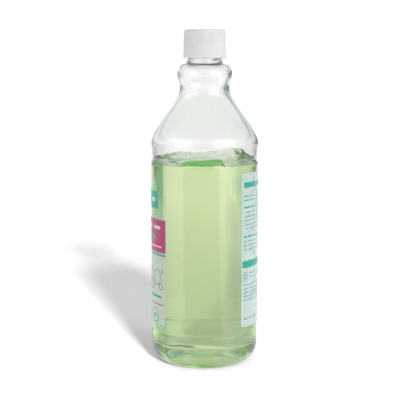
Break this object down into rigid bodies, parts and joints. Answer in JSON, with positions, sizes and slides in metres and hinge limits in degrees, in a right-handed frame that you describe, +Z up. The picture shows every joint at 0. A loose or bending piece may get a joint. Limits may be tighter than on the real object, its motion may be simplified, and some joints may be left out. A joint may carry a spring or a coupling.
{
  "type": "hand sanitizer gel bottle",
  "caption": "Clear round blow-moulded bottle of pale green hand sanitizer gel, with a bulb under its neck, a white screw cap and film labels front and back.",
  "frame": {"origin": "centre of the base, on the plane that the bottle stands on", "axes": "+Z up along the bottle's axis, -Y towards the front label, +Y towards the back label"},
  "size_m": [0.082, 0.0825, 0.2541],
  "materials": {
    "clear_pet": "clear and glossy",
    "gel": "wet, clear yellow-green",
    "cap_plastic": "satin white",
    "liner_foam": "fine white foam",
    "front_film": "glossy printed film",
    "back_film": "glossy printed film"
  },
  "bodies": {
    "bottle": {"bottle": "clear_pet", "gel": "gel", "front_label": "front_film", "back_label": "back_film"},
    "liner": {"cap_liner": "liner_foam"},
    "cap": {"cap": "cap_plastic"}
  },
  "joints": [
    {"name": "cap_lift", "type": "slide", "parent": "bottle", "child": "liner", "axis": [0, 0, 1], "range_m": [0, 0.00635]},
    {"name": "cap_turn", "type": "hinge", "parent": "liner", "child": "cap", "pos_m": [0, 0, 0.2435], "axis": [0, 0, 1], "range_deg": [0, 540]}
  ],
  "couplings": [
    {"joint": "cap_lift", "follows": "cap_turn", "m_per_rad": 0.00067375}
  ]
}
